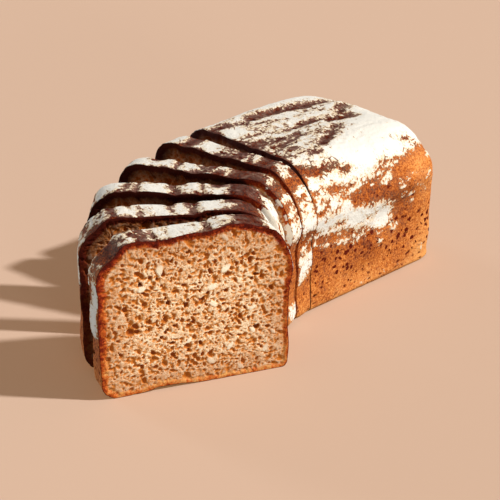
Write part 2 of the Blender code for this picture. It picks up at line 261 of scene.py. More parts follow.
def cells_of(x, z, spacing, seed):
    """For each of the nine cells of a square lattice round a place: the offset from the cell's
    randomly placed middle, along and across a random direction, and three more random numbers."""
    column = np.floor(x / spacing).astype(np.int64)
    row = np.floor(z / spacing).astype(np.int64)
    for step_x, step_z in np.ndindex(3, 3):
        at_column = column + step_x - 1
        at_row = row + step_z - 1
        draws = [random_share(at_column, at_row, seed + kind, kind) for kind in range(6)]
        from_middle_x = x - (at_column + draws[0]) * spacing
        from_middle_z = z - (at_row + draws[1]) * spacing
        turn = draws[2] * np.pi
        longwise = from_middle_x * np.cos(turn) + from_middle_z * np.sin(turn)
        crosswise = from_middle_z * np.cos(turn) - from_middle_x * np.sin(turn)
        yield longwise, crosswise, draws[3], draws[4], draws[5]


def cut_bubbles(x, z, spacing, radii, share, seed):
    """Depth of bubbles cut open by a plane: in each lattice cell lies a ball of random size, with
    its middle from 0.9 radii before the plane to 0.8 radii behind it. Inside its opening the floor
    is the ball's far side. It is drawn out along by one over a stretch of 0.7 to 0.96 and squeezed
    across by as much. The share of cells that have a bubble may differ from place to place."""
    depth = np.zeros(x.shape)
    for longwise, crosswise, size_draw, depth_draw, kept_draw in cells_of(x, z, spacing, seed):
        radius = radii[0] + (radii[1] - radii[0]) * size_draw ** 2
        middle = (1.7 * depth_draw - 0.9) * radius
        stretch = 0.7 + 0.26 * kept_draw / share
        distance_square = (longwise * stretch) ** 2 + (crosswise / stretch) ** 2
        opening = radius ** 2 - middle ** 2
        floor = middle + np.sqrt(np.maximum(radius ** 2 - distance_square, 0.0))
        hollow = np.where((distance_square < opening) & (kept_draw < share), floor, 0.0)
        depth = np.maximum(depth, hollow)
    return depth


def scattered_grains(x, z, spacing, radii, share, seed):
    """Height, from 0 to 1, of flat oval grains, each a dome 1 - d² over its radius, scattered at
    most one to a lattice cell. They are about twice as long as wide."""
    height = np.zeros(x.shape)
    for longwise, crosswise, size_draw, _, kept_draw in cells_of(x, z, spacing, seed):
        radius = radii[0] + (radii[1] - radii[0]) * size_draw
        distance_square = ((longwise * 0.75) ** 2 + (crosswise * 1.4) ** 2) / radius ** 2
        dome = np.clip(1.0 - distance_square, 0.0, 1.0)
        height = np.maximum(height, np.where(kept_draw < share, dome, 0.0))
    return height


# Further bare streaks with no groove, in millimetres: start, end, half width
BARE_STREAKS = (
    ((-7, 0), (-7, 20), 1.6),
    ((2, 2), (4, 16), 4.0),
    ((15, 8), (19, 18), 2.4),
    ((-20, 22), (-17, 36), 1.8),
    ((-17, 39), (-13, 46), 1.0),
    ((36, 16), (37, 25), 1.8),
    ((44, -2), (48, 12), 4.4),
    ((48, 12), (49, 25), 2.2),
    ((52, 26), (53, 33), 0.9),
    ((60, 12), (64, 22), 1.6),
    ((66, 22), (70, 36), 2.2),
    ((71, 36), (74, 60), 5.0),
    ((66, 46), (64, 62), 2.0),
    ((64, 76), (66, 112), 6.0),
    ((47, 86), (46, 93), 1.4),
    ((75, 66), (92, 80), 5.0),
    ((72, 3), (69, 10), 0.9),
    ((75, 11), (73, 20), 1.2),
    ((77, 42), (77, 48), 0.7),
    ((85, 19), (84, 25), 0.7),
    ((88, 46), (86, 52), 0.5),
    ((13, -38), (13, -30), 0.5),
    ((-30, -38), (-30, -28), 0.6),
    ((48, -12), (48, -1), 4.6),
    ((59, -12), (59, -4), 1.0),
    ((58, -25), (59, -16), 2.4),
    ((-18, -53), (-18, -47), 0.6),
    ((-1, -50), (-2, -40), 0.7),
    ((29, -44), (30, -40), 2.0),
    ((-48, -68), (-47, -55), 6.4),
    ((58, -68), (60, -55), 2.4),
)

# Flour on the walls, in millimetres: start, end, half width, first and last place along the loaf
FLOURY_STREAKS = (
    ((64, 0), (75, 15), 14.0, -1, 120),
    ((75, 15), (83, 40), 11.5, -1, 120),
    ((83, 40), (91, 61), 8.6, -1, 120),
    ((91, 61), (94, 66), 4.0, -1, 120),
    ((102, 58), (102, 61), 1.2, -1, 120),
    ((106, 57), (107, 60), 0.8, -1, 120),
    ((102, 70), (103, 72), 1.5, -1, 120),
    ((66, 93), (80, 96), 1.0, -1, 120),
    ((125, 97), (127, 99), 1.4, -1, 120),
    ((106, -16), (98, 2), 6.2, -13, 0),
    ((36, -24), (36, -15), 6.5, -26, -13.7),
    ((124, -27), (127, -12), 4.4, -26, -13.7),
    ((-62, -67), (-92, -61), 7.0, -70, -54),
    ((-58, -52), (-80, -46), 7.0, -55, -39),
    ((-56, -38), (-70, -30), 6.5, -40, -26),
    ((-57, -22), (-74, -16), 6.5, -26, -13),
    ((-56, -3), (-64, 20), 10.0, -1, 120),
    ((-64, 20), (-77, 46), 8.0, -1, 120),
    ((-77, 46), (-86, 62), 4.5, -1, 120),
    ((-52, 70), (-66, 92), 6.0, -1, 120),
)

# Where flour and crust are mixed in specks, in millimetres: start, end, half width, and how far
# inside the flour such a place counts before its noise, so that a low figure leaves more crust
SPECKLED = (
    ((-20, 22), (-4, 34), 9.0, 0.1),
    ((-60, -66), (-60, -2), 5.0, -0.3),
    ((-62, 2), (-60, 96), 6.0, -0.6),
    ((-88, 8), (-90, 60), 5.0, -1.4),
    ((2, 2), (16, 28), 10.0, -0.5),
    ((30, 2), (27, 24), 7.0, 0.0),
    ((-35, 0), (-35, 24), 3.0, -0.4),
    ((-10, 42), (-14, 76), 8.0, 2.2),
    ((26, 28), (10, 58), 10.0, 1.4),
    ((68, 36), (66, 62), 6.0, 0.2),
    ((90, 0), (100, 44), 4.5, -1.0),
    ((84, 74), (86, 94), 7.0, -1.5),
    ((72, 98), (58, 110), 8.0, -0.8),
    ((72, 78), (80, 106), 8.0, -1.4),
    ((62, 62), (60, 78), 2.6, -0.4),
    ((130, 24), (130, 112), 4.0, -3.2),
    ((5, -12), (8, -2), 13.0, -0.8),
    ((38, -12), (37, -1), 4.6, -0.6),
    ((66, -12), (66, -2), 12.0, 1.5),
    ((86, -12), (86, -2), 6.0, -1.3),
    ((11, -25), (11, -15), 3.6, -0.2),
    ((64, -25), (63, -15), 6.0, 1.6),
    ((-4, -39), (-5, -27), 3.4, -0.8),
    ((28, -39), (28, -27), 3.0, -0.9),
    ((-43, -53), (-41, -42), 5.0, 0.2),
    ((32, -53), (33, -42), 2.4, 0.0),
    ((9, -53), (9, -42), 2.8, -0.8),
    ((-31, -67), (-31, -56), 9.0, 0.5),
    ((-15, -67), (-14, -56), 4.5, 0.5),
    ((20, -67), (20, -56), 6.0, 1.2),
    ((4, -67), (5, -56), 2.5, 0.3),
)

# The crown's floured zone, in millimetres: along the loaf and round it at the right, round it at
# the left, and above the base on the far end
FLOUR_EDGE_ALONG = (-70, -2, 6, 15, 38, 52, 60, 75, 90, 100, 114, 130)
FLOUR_EDGE_RIGHT = (79, 79, 74, 61, 62, 61, 58, 57, 55, 50, 46, 30)
FLOUR_EDGE_LEFT = -50.0
FLOUR_END_HEIGHT = 66.0
FLOUR_END_ALONG = (86.0, 102.0)
FLOUR_END_UNLIMITED = 40.0

# How far inside the flour a place counts at least and at most, in millimetres, and by what share
# of a millimetre that grows for each one in from the edge of the zone, of a streak and of its ends,
# or out from a bare place
NO_FLOUR = -5.0
FULL_FLOUR = 6.0
FULL_FLOUR_ON_SLICES = 4.2
ZONE_SLOPE = 0.8
STREAK_SLOPE = 0.7
STREAK_END_SLOPE = 3.0
BARE_SLOPE = 0.8
SPECKLED_EDGE = (-2.0, 3.0)


def flour_reach(round_mm, along_mm, points):
    """How far inside the flour a place lies, in millimetres: the crown's floured zone with the
    floury streaks of the walls, mixed with crust where it is speckled, less the grooves and bare
    streaks, all with edges made ragged by two noises that are drawn out along the loaf."""
    right_edge = np.interp(along_mm, FLOUR_EDGE_ALONG, FLOUR_EDGE_RIGHT)
    zone = np.minimum(right_edge - round_mm, round_mm - FLOUR_EDGE_LEFT)
    above_end = points[..., 2] / MM - FLOUR_END_HEIGHT
    before_end = 1.0 - smooth_step(along_mm, *FLOUR_END_ALONG)
    zone = np.minimum(zone, above_end + FLOUR_END_UNLIMITED * before_end)
    full = np.where(along_mm < 0.0, FULL_FLOUR_ON_SLICES, FULL_FLOUR)
    zone = np.clip(ZONE_SLOPE * zone, NO_FLOUR, full)
    for streak in FLOURY_STREAKS:
        reach = streak[2] - streak_distance(round_mm, along_mm, streak)
        to_ends = np.minimum(along_mm - streak[3], streak[4] - along_mm) * STREAK_END_SLOPE
        reach = STREAK_SLOPE * np.minimum(reach, to_ends)
        zone = np.maximum(zone, np.minimum(reach, FULL_FLOUR))
    mixed = np.zeros(zone.shape)
    for patch in SPECKLED:
        inside = patch[2] - streak_distance(round_mm, along_mm, patch)
        share = smooth_step(inside, *SPECKLED_EDGE)
        zone = zone * (1.0 - share) + patch[3] * share
        mixed = np.maximum(mixed, share)
    bare = np.maximum(
        inside_streaks(round_mm, along_mm, GROOVES),
        inside_streaks(round_mm, along_mm, BARE_STREAKS),
    )
    zone = np.minimum(zone, -BARE_SLOPE * bare)
    ragged = rough_noise(points * (1.0, 0.6, 1.0), 6.0 * MM, octaves=4, seed=21)
    specks = rough_noise(points * (1.0, 0.7, 1.0), 2.6 * MM, octaves=2, seed=47)
    return zone + ragged * (1.5 + 0.4 * mixed) + specks * (1.0 + 1.2 * mixed)


# How darkly the crust is baked at distances down from the crown's middle, in millimetres. The
# paler places of the right shoulder each have a place round the outline, one along the loaf once
# it is stretched, that stretch, a spread, and how much paler they are
BAKE_DOWN = (0, 44, 60, 84, 100, 118, 134)
BAKE_TONES = (1.08, 1.0, 0.62, 0.6, 0.52, 0.4, 0.24)
BAKE_TOP = 132.0
PALER_PLACES = ((64, 84, 1.0, 14.0, 0.25), (48, -2, 0.6, 10.0, 0.32))
END_PALER = 0.3
END_PALER_ALONG = (78, 102)
END_PALER_DOWN = (44, 66)
BAKE_CLOUDS = 0.09


def bake_tone(round_mm, along_mm, points):
    """How dark the crust is baked: about 1 on the crown, falling to 0.24 at the foot of the walls,
    where the tin kept the heat off, and paler again on the end and in two places of the shoulder,
    with clouds of noise. It follows the distance from the crown's middle round the outline, or down
    from the crown's top where that is further."""
    down = np.maximum(abs(round_mm), BAKE_TOP - points[..., 2] / MM)
    tone = np.interp(down, BAKE_DOWN, BAKE_TONES)
    for at_round, at_along, stretch, spread, paler in PALER_PLACES:
        away = np.hypot(round_mm - at_round, stretch * along_mm - at_along)
        tone = tone - paler * bell(away, spread)
    on_end = smooth_step(along_mm, *END_PALER_ALONG) * smooth_step(down, *END_PALER_DOWN)
    clouds = rough_noise(points, 14.0 * MM, octaves=3, seed=71)
    return tone - END_PALER * on_end + BAKE_CLOUDS * clouds


def outward(rows):
    """Unit normals of a grid of closed rows: the cross product of its two directions."""
    along = np.gradient(rows, axis=0)
    around = np.roll(rows, -1, axis=1) - np.roll(rows, 1, axis=1)
    normal = np.cross(along, around)
    return normal / np.linalg.norm(normal, axis=2, keepdims=True)


# Length, and how the crown, the shoulders, the corners and the foot round off to the far end
REST_LENGTH = 113.7 * MM
CROWN_FALL_START = 66.0 * MM
CROWN_FALL_FOOT = 52.0 * MM
CROWN_FALL_POWER = 3.1
SHOULDERS_FALL = (6.0 * MM, 3.5 * MM)
SHOULDERS_FALL_ALONG = (55.0 * MM, 105.0 * MM)
END_RISE = 2.0 * MM
END_RISE_AT = -5.0 * MM
END_RISE_SPREAD = 22.0 * MM
END_RISE_ALONG = (70.0 * MM, 100.0 * MM)
END_CHANGE_LEVELS = (0.0, 30.0 * MM)
END_CORNER = 14.5 * MM
END_FOOT = 4.0 * MM
END_BULGE = 1.6 * MM
END_STEEPEST = np.radians(82)

# Where lumps and grooves start above the base, how they fade out with the crown's fall, and the
# knobs under the slices
LUMPS_START_HEIGHT = 5.0 * MM
RELIEF_FADES = (0.1, 0.6)
KNOB_HEIGHT = 1.2 * MM
KNOB_SIZE = 4.5 * MM

# Fine relief of the crust: blisters everywhere, crumbs of flour, and pits in the walls where a
# blister burst: spacing, smallest and largest radius, share of places that have one, seed
BLISTER_HEIGHT = 0.16 * MM
BLISTER_SIZE = 5.0 * MM
FLOUR_THICKNESS = 0.34 * MM
FLOUR_CRUMB_HEIGHT = 0.19 * MM
FLOUR_CRUMB_SIZE = 2.4 * MM
FINE_RELIEF_LEVELS = (0.0, 1.5 * MM)
PITS = (
    (5.0 * MM, (0.45 * MM, 1.5 * MM), 0.62, 31),
    (2.8 * MM, (0.35 * MM, 0.8 * MM), 0.45, 37),
)

# Distance round the outline, in millimetres, over which the pits start, and how deep they are
PITTED_WALL = (66, 84)
PIT_DEPTH_SHARE = 0.7
DEEPEST_PIT = 0.5 * MM

# Flour that the saw brushed off the near edge of a piece, and how far in, in millimetres
BRUSHED_OFF = 2.5
BRUSHED_REACH = 2.2

# Where the walls are blistered most, in millimetres, and how much there and elsewhere
BLISTERED_AT = 108
BLISTERED_SPREAD = 13.0
BLISTERED_ALONG = (-10, 30)
BLISTERED_MOST = 1.2
BLISTERED_LEAST = 0.5
BLISTERED_END = 0.45


def crust_surface(stations, count):
    """The crust as a grid: one outline of the loaf as baked for each station along it.

    Past CROWN_FALL_START the crown falls along a superellipse, its shoulders sooner than its
    middle, the walls close in round END_CORNER and the base lifts round END_FOOT. Lumps, grooves,
    flour, blisters and pits then move each point along its normal. The saw has brushed some flour
    off the near edge.

    Returns the grid and the finish values of its points: how far inside the flour they lie, the
    tone of the baking, how deep in a pit, how much the wall is blistered, and four for crumb: how
    deep in a bubble, how far in from the crust, how high on a pale grain, and how strongly it turns
    brown and compact, which on faces shut in between slices is painted shade.
    """
    x, z, outline_place = section(count)
    x, z = swelled(x, z)
    y = np.asarray(stations)[:, None]

    fall = np.clip((y - CROWN_FALL_START) / (REST_LENGTH - CROWN_FALL_START), 0.0, 1.0)
    kept = (1.0 - fall ** CROWN_FALL_POWER) ** (1.0 / CROWN_FALL_POWER)
    shoulder_fall = np.where(x < 0.0, *SHOULDERS_FALL) * (x / WALL_RIGHT) ** 2
    change = END_RISE * bell(x - END_RISE_AT, END_RISE_SPREAD) * smooth_step(y, *END_RISE_ALONG)
    change = change - shoulder_fall * smooth_step(y, *SHOULDERS_FALL_ALONG)
    above_foot = np.maximum(z - CROWN_FALL_FOOT, 0.0)
    lifted = (above_foot + change * smooth_step(above_foot, *END_CHANGE_LEVELS)) * kept
    height = np.where(z > CROWN_FALL_FOOT, CROWN_FALL_FOOT + lifted, z)
    past_foot = np.clip(y - REST_LENGTH + END_FOOT, 0.0, END_FOOT)
    lift = END_FOOT - np.sqrt(END_FOOT ** 2 - past_foot ** 2)
    height = height + lift * np.clip(1.0 - height / CROWN_FALL_FOOT, 0.0, 1.0)
    past_corner = np.clip(y - REST_LENGTH + END_CORNER, 0.0, END_CORNER)
    inset = END_CORNER - np.sqrt(END_CORNER ** 2 - past_corner ** 2)
    width = x * (1.0 - inset / WALL_RIGHT)
    rows = np.stack(np.broadcast_arrays(width, y, height), axis=2)

    round_mm = np.broadcast_to(outline_place / MM, rows.shape[:2])
    along_mm = np.broadcast_to(y / MM, rows.shape[:2])
    above_base = smooth_step(height, 0.0, LUMPS_START_HEIGHT)
    relief = lumps(outline_place, y) - grooves(round_mm, along_mm)
    relief = relief * above_base * smooth_step(kept, *RELIEF_FADES)
    flour = flour_reach(round_mm, along_mm, rows)
    from_near_edge = along_mm - along_mm[0, 0]
    flour = flour - BRUSHED_OFF * (1.0 - smooth_step(from_near_edge, 0.0, BRUSHED_REACH))
    floured = smooth_step(flour, -0.5, 0.5)
    blisters = BLISTER_HEIGHT * rough_noise(rows, BLISTER_SIZE, octaves=3, seed=88)
    crumbly = FLOUR_CRUMB_HEIGHT * rough_noise(rows, FLOUR_CRUMB_SIZE, octaves=2, seed=95) * floured
    pits = np.zeros(rows.shape[:2])
    for spacing, radii, share, seed in PITS:
        some = cut_bubbles(round_mm * MM, 0.7 * along_mm * MM, spacing, radii, share, seed)
        pits = np.maximum(pits, some)
    on_wall = smooth_step(abs(round_mm), *PITTED_WALL)
    pits = pits * on_wall * smooth_step(-flour, -0.4, 0.6)
    fine = FLOUR_THICKNESS * floured + blisters + crumbly - PIT_DEPTH_SHARE * pits
    relief = relief + fine * smooth_step(height, *FINE_RELIEF_LEVELS)
    rows = rows + outward(rows) * relief[..., None]
    on_base = 1.0 - smooth_step(height, 0.0, 2.0 * FOOT_RIGHT[1])
    knobbly = KNOB_HEIGHT * np.maximum(noise(rows, KNOB_SIZE, seed=61), 0.0) * (y < 0.0)
    rows[..., 2] += (base_hollow(width, y) + knobbly) * on_base
    rows[..., 2] = np.maximum(rows[..., 2], 0.0)
    blistered = bell(round_mm - BLISTERED_AT, BLISTERED_SPREAD)
    blistered = blistered * smooth_step(along_mm, *BLISTERED_ALONG)
    finish = {
        "flour": flour,
        "tone": bake_tone(round_mm, along_mm, rows),
        "pit": np.clip(pits / DEEPEST_PIT, 0.0, 1.0),
        "blistered": BLISTERED_LEAST + BLISTERED_MOST * blistered,
        "hole": np.zeros(rows.shape[:2]),
        "rim": np.zeros(rows.shape[:2]),
        "grain": np.zeros(rows.shape[:2]),
        "dense_and_shaded": np.ones(rows.shape[:2]),
    }
    return rows, finish


def face_grid(cells):
    """A square grid stretched over a face: its ring number k has 8k points at even shares of the
    edge. Returns the edge place of each point, as a share, and its size, 0 in the middle and 1 on
    the edge. Rows run upwards and columns to +X."""
    steps = np.arange(-cells, cells + 1)
    column, row = np.meshgrid(steps, steps)
    ring = np.maximum(np.maximum(abs(column), abs(row)), 1)
    at_foot = row == -ring
    at_right = (column == ring) & ~at_foot
    at_top = (row == ring) & ~at_right
    around = np.where(at_foot, column, np.where(at_right, 2 * ring + row, 4 * ring - column))
    around = np.where(at_foot | at_right | at_top, around, 6 * ring - row)
    share = np.mod(around / (8.0 * ring), 1.0)
    size = np.maximum(abs(column), abs(row)) / cells
    return share, size


def along_edge(values, share):
    """Values given on the points of a closed edge, read at shares of the way round it."""
    closed = np.concatenate((values, values[:1]))
    places = np.arange(len(closed)) / len(values)
    if values.ndim == 1:
        return np.interp(share, places, closed)
    return np.stack([np.interp(share, places, closed[:, axis]) for axis in range(3)], axis=-1)


def edge_support(edge):
    """Distance from a face's middle to the straight line through each stretch of its edge."""
    run = np.roll(edge, -1, axis=0) - np.roll(edge, 1, axis=0)
    normal = np.column_stack((run[:, 2], -run[:, 0]))
    normal = normal / np.linalg.norm(normal, axis=1, keepdims=True)
    reach = (edge - edge.mean(axis=0))[:, [0, 2]]
    return abs(np.sum(normal * reach, axis=1))


# Crumb of a cut face: large bubbles, then three finer kinds, each with its spacing, smallest and
# largest radius, the share of places that have one, and what is added to the face's seed
CRUMB_SUNK = 0.35 * MM
LARGE_BUBBLES = (11.0 * MM, (1.3 * MM, 2.8 * MM), 0.45)
FINE_BUBBLES = (
    (4.2 * MM, (1.0 * MM, 1.8 * MM), 0.6, 7),
    (2.7 * MM, (0.8 * MM, 1.45 * MM), 0.9, 14),
    (1.6 * MM, (0.45 * MM, 0.8 * MM), 0.95, 21),
)
BUBBLE_DEPTH_SHARE = 0.8
DEEPEST_BUBBLE = 3.4 * MM
GRAINS = (14.0 * MM, (1.7 * MM, 3.0 * MM), 0.35)
GRAIN_HEIGHT = 0.12 * MM
TORN_HEIGHT = 0.07 * MM

# How far in from the edge the bubbles, the sunk crumb and its browning start, how far in all crumb
# is a little dense, and how much thicker the crust is at the left
BUBBLES_START = (1.2 * MM, 3.0 * MM)
CRUMB_STARTS = (1.5 * MM, 2.6 * MM)
BROWNING_STARTS = 1.6 * MM
DENSE_STARTS = (2.0 * MM, 28.0 * MM)
DENSE_LEAST = 0.5
THICKER_AT_LEFT = 1.4 * MM
LEFT_SIDE = (36.0 * MM, 48.0 * MM)

# How a face turns brown: how far in from the crust, how strongly, and how many millimetres of
# flour the saw dragged over its right shoulder, or None where it dragged none. On the rest's face
# and the slices' faces shut in between slices this brown is deep, strong and nearly black:
# painted shade
PAINTED_SHADE_DEPTH = 24.0 * MM
REST_FACE = (PAINTED_SHADE_DEPTH, 0.95, None)
# Where across the face the saw dragged flour over the right shoulder, and how far in from the crust
# and by what share the browning and its painted shade are lifted there, where that strip of the face
# is in the light
DRAGGED_OVER = (26.0 * MM, 34.0 * MM)
SHADE_LIFTED_DEPTH = (3.0 * MM, 8.0 * MM)
SHADE_LIFTED_SHARE = 0.7

# Size of the first ring of a coarser face, and where along the loaf, in millimetres, the far end's
# flour and tone are read
FIRST_RING_SIZE = 0.985
END_READ_AT = 113.0


def crumb_relief(points, rim, browning_and_shade, seed):
    """How far the crumb lies behind the knife's plane, and its finish values.

    Bubbles of four sizes are cut open, their outlines bent by noise. Near the crust the crumb is
    more compact and turns brown, so bubbles shrink there, and the crust itself stands proud as a
    rim. On faces shut in between slices the brown is deep and strong: painted shade.
    """
    x = points[..., 0] + 0.4 * MM * rough_noise(points, 2.6 * MM, 2, seed)
    z = points[..., 2] + 0.4 * MM * rough_noise(points, 2.6 * MM, 2, seed + 2)
    open_here = 1.0 + 0.45 * noise(points, 8.0 * MM, seed + 4)
    holes = cut_bubbles(x, z, *LARGE_BUBBLES, seed)
    for spacing, radii, usual_share, number in FINE_BUBBLES:
        share = np.clip(usual_share * open_here, 0.1, 1.0)
        holes = np.maximum(holes, cut_bubbles(x, z, spacing, radii, share, seed + number))
    inside = smooth_step(rim, *BUBBLES_START)
    holes = BUBBLE_DEPTH_SHARE * np.minimum(holes, DEEPEST_BUBBLE) * (0.25 + 0.75 * inside)
    grains = scattered_grains(x, z, *GRAINS, seed + 28) * inside
    holes = holes * (1.0 - smooth_step(grains, 0.05, 0.3))
    torn = TORN_HEIGHT * rough_noise(points, 1.3 * MM, 2, seed + 35)
    wander = 0.35 * MM * noise(points, 5.0 * MM, seed + 42)
    wander = wander + 0.5 * MM * noise(points, 2.2 * MM, seed + 49)
    wander = wander - THICKER_AT_LEFT * smooth_step(-points[..., 0], *LEFT_SIDE)
    sunk = CRUMB_SUNK * smooth_step(rim + wander, *CRUMB_STARTS)
    # On faces shut in between slices this browning is deep and strong: painted shade
    browning_and_shade_depth, strength, _ = browning_and_shade
    dense_and_shaded = 1.0 - smooth_step(rim + 2.0 * wander, BROWNING_STARTS, browning_and_shade_depth)
    dense_throughout = DENSE_LEAST * (1.0 - smooth_step(rim, *DENSE_STARTS))
    dense_and_shaded = np.maximum(strength * dense_and_shaded, dense_throughout)
    holes = holes * (1.0 - 0.5 * dense_and_shaded)
    finish = {"hole": holes / MM, "rim": (rim + wander) / MM, "grain": grains, "dense_and_shaded": dense_and_shaded}
    return sunk + holes + torn * inside - GRAIN_HEIGHT * grains, finish


def band_faces(rows, columns):
    """Four-cornered faces of a band of closed rows, facing out as the rows go along +Y."""
    start = np.arange(rows - 1)[:, None] * columns
    here = np.arange(columns)
    following = (here + 1) % columns
    corners = (start + here, start + columns + here, start + columns + following, start + following)
    return np.stack(corners, axis=-1).reshape(-1, 4)


def face_cover(edge, edge_numbers, first_number, edge_finish, facing, halved, browning_and_shade, seed):
    """A grid over an open end: facing is -1 for a face towards -Y and 1 for one towards +Y.

    Where halved is true, a first ring with half the edge's points makes the grid coarser. A face of
    crumb is given how it turns brown, on faces shut in between slices deep and strong as painted
    shade, and lies behind the plane by crumb_relief.
    Without it the face is crust, and bulges by END_BULGE times 1 - size². Returns points, finish
    values, four- and three-cornered faces.
    """
    middle = edge.mean(axis=0)
    support = edge_support(edge)
    count = len(edge)
    outer_size = 1.0
    quads, triangles = [], []
    ring_numbers = edge_numbers
    ring_share = np.zeros(0)
    if halved:
        outer_size = FIRST_RING_SIZE
        ring_share = np.arange(count // 2) / (count // 2)
        ring_numbers = first_number + np.arange(count // 2)
        even = edge_numbers[0::2]
        odd = edge_numbers[1::2]
        next_even = np.roll(even, -1)
        next_ring = np.roll(ring_numbers, -1)
        triangles = np.column_stack((even, odd, ring_numbers))
        quads = [np.column_stack((odd, next_even, next_ring, ring_numbers))]

    cells = len(ring_numbers) // 8
    share, size = face_grid(cells)
    numbers = np.zeros(share.shape, dtype=np.int64)
    on_edge = size == 1.0
    numbers[on_edge] = ring_numbers[np.round(share[on_edge] * 8 * cells).astype(int) % (8 * cells)]
    inner_count = int(np.sum(~on_edge))
    numbers[~on_edge] = first_number + len(ring_share) + np.arange(inner_count)
    quads.append(np.stack(
        (numbers[:-1, :-1], numbers[:-1, 1:], numbers[1:, 1:], numbers[1:, :-1]), axis=-1
    ).reshape(-1, 4))

    all_share = np.concatenate((ring_share, share[~on_edge]))
    all_size = np.concatenate((np.ones(len(ring_share)), size[~on_edge])) * outer_size
    target = along_edge(edge, all_share)
    points = middle + (target - middle) * all_size[:, None]
    rim = (1.0 - all_size) * along_edge(support, all_share)
    tone = along_edge(edge_finish["tone"], all_share)
    finish = {
        "tone": tone,
        "flour": np.full(len(points), NO_FLOUR),
        "pit": np.zeros(len(points)),
        "blistered": np.full(len(points), BLISTERED_END),
    }
    edge_flour = along_edge(edge_finish["flour"], all_share)
    if browning_and_shade:
        depth, crumb_finish = crumb_relief(points, rim, browning_and_shade, seed)
        finish.update(crumb_finish)
        if browning_and_shade[2] is not None:
            shoulder = smooth_step(points[:, 0], *DRAGGED_OVER)
            dragged = edge_flour + browning_and_shade[2] - rim / MM
            finish["flour"] = dragged * shoulder + NO_FLOUR * (1.0 - shoulder)
            # Near the rim of the right shoulder, where the face is in the light, most of the browning
            # and painted shade is lifted
            near_rim = 1.0 - smooth_step(rim, *SHADE_LIFTED_DEPTH)
            finish["dense_and_shaded"] = finish["dense_and_shaded"] * (1.0 - SHADE_LIFTED_SHARE * shoulder * near_rim)
        points[:, 1] -= facing * depth
    else:
        points[:, 1] += END_BULGE * (1.0 - all_size ** 2)
        fine = BLISTER_HEIGHT * rough_noise(points, BLISTER_SIZE, octaves=3, seed=88)
        points[:, 1] += fine * smooth_step(rim, 0.0, 3.0 * MM)
        inner = smooth_step(rim, 0.0, 8.0 * MM)
        on_crown = np.zeros(len(points))
        at_end = np.full(len(points), END_READ_AT)
        own_flour = flour_reach(on_crown, at_end, points)
        finish["flour"] = edge_flour * (1.0 - inner) + own_flour * inner
        finish["tone"] = tone * (1.0 - inner) + bake_tone(on_crown, at_end, points) * inner
        finish.update({name: np.zeros(len(points)) for name in ("hole", "rim", "grain", "dense_and_shaded")})
    quads = np.concatenate(quads)
    triangles = np.asarray(triangles, dtype=np.int64).reshape(-1, 3)
    if facing > 0:
        quads = quads[:, ::-1]
        triangles = triangles[:, ::-1]
    return points, finish, quads, triangles


def bread_piece(name, rows, finish, ends):
    """One closed mesh: the crust's band and a cover over each open end, with the finish values as
    point attributes. ends holds, for the near and the far end, its facing, whether it is halved,
    how its crumb turns brown, with any painted shade, and a seed."""
    row_count, count = rows.shape[:2]
    points = [rows.reshape(-1, 3)]
    values = {key: [value.reshape(-1)] for key, value in finish.items()}
    quads = [band_faces(row_count, count)]
    triangles = []
    kinds = [np.zeros(len(quads[0]), dtype=np.int32)]
    triangle_kinds = []
    total = row_count * count
    for which, (facing, halved, browning_and_shade, seed) in zip((0, row_count - 1), ends):
        edge_numbers = which * count + np.arange(count)
        edge_finish = {key: value[which] for key, value in finish.items()}
        cover = face_cover(
            rows[which], edge_numbers, total, edge_finish, facing, halved, browning_and_shade, seed
        )
        points.append(cover[0])
        total += len(cover[0])
        for key, value in cover[1].items():
            values[key].append(value)
        quads.append(cover[2])
        triangles.append(cover[3])
        kind = int(bool(browning_and_shade))
        kinds.append(np.full(len(cover[2]), kind, dtype=np.int32))
        triangle_kinds.append(np.full(len(cover[3]), kind, dtype=np.int32))
    mesh = bpy.data.meshes.new(name)
    points = np.concatenate(points)
    faces = np.concatenate(quads).tolist() + np.concatenate(triangles).tolist()
    mesh.from_pydata(points, [], faces)
    mesh.polygons.foreach_set("material_index", np.concatenate(kinds + triangle_kinds))
    for key, parts in values.items():
        attribute = mesh.attributes.new(key, "FLOAT", "POINT")
        attribute.data.foreach_set("value", np.concatenate(parts).astype(np.float32))
    mesh.shade_smooth()
    piece = bpy.data.objects.new(name, mesh)
    bpy.context.scene.collection.objects.link(piece)
    return piece


# The whole object's middle, in the loaf as it was baked
PLAN_MIDDLE = np.array((19.0 * MM, -19.6 * MM, 0.0))


def set_down(piece, turn, place):
    """Turns a piece's points about +Z by turn and moves them to place, and leaves the object at
    the origin."""
    mesh = piece.data
    points = np.empty(len(mesh.vertices) * 3)
    mesh.vertices.foreach_get("co", points)
    points = points.reshape(-1, 3)
    cosine, sine = np.cos(turn), np.sin(turn)
    x = points[:, 0] * cosine - points[:, 1] * sine
    y = points[:, 0] * sine + points[:, 1] * cosine
    moved = np.column_stack((x, y, points[:, 2])) + place
    mesh.vertices.foreach_set("co", moved.ravel())
    mesh.update()


def linear(colour):
    """An sRGB hex colour as linear red, green, blue and alpha."""
    parts = [int(colour[i:i + 2], 16) / 255.0 for i in (0, 2, 4)]
    return [((part + 0.055) / 1.055) ** 2.4 for part in parts] + [1.0]


def add(tree, kind, inputs=None, stops=(), **settings):
    """Adds a node with its settings, sets or links its inputs, and gives a ramp its colour stops.

    Inputs go by name or by Blender's number. Map Range goes from 1 and 2 to 3 and 4, which are 0
    and 1 unless given. Mix goes by 0 from colour 6 to colour 7, or from vector 4 to vector 5.
    """
    node = tree.nodes.new("ShaderNode" + kind)
    for name, value in settings.items():
        setattr(node, name, value)
    for key, value in (inputs or {}).items():
        if isinstance(value, bpy.types.NodeSocket):
            tree.links.new(value, node.inputs[key])
        else:
            node.inputs[key].default_value = value
    if stops:
        elements = node.color_ramp.elements
        while len(elements) < len(stops):
            elements.new(1.0)
        for element, (position, colour) in zip(elements, stops):
            element.position = position
            element.color = linear(colour)
    return node


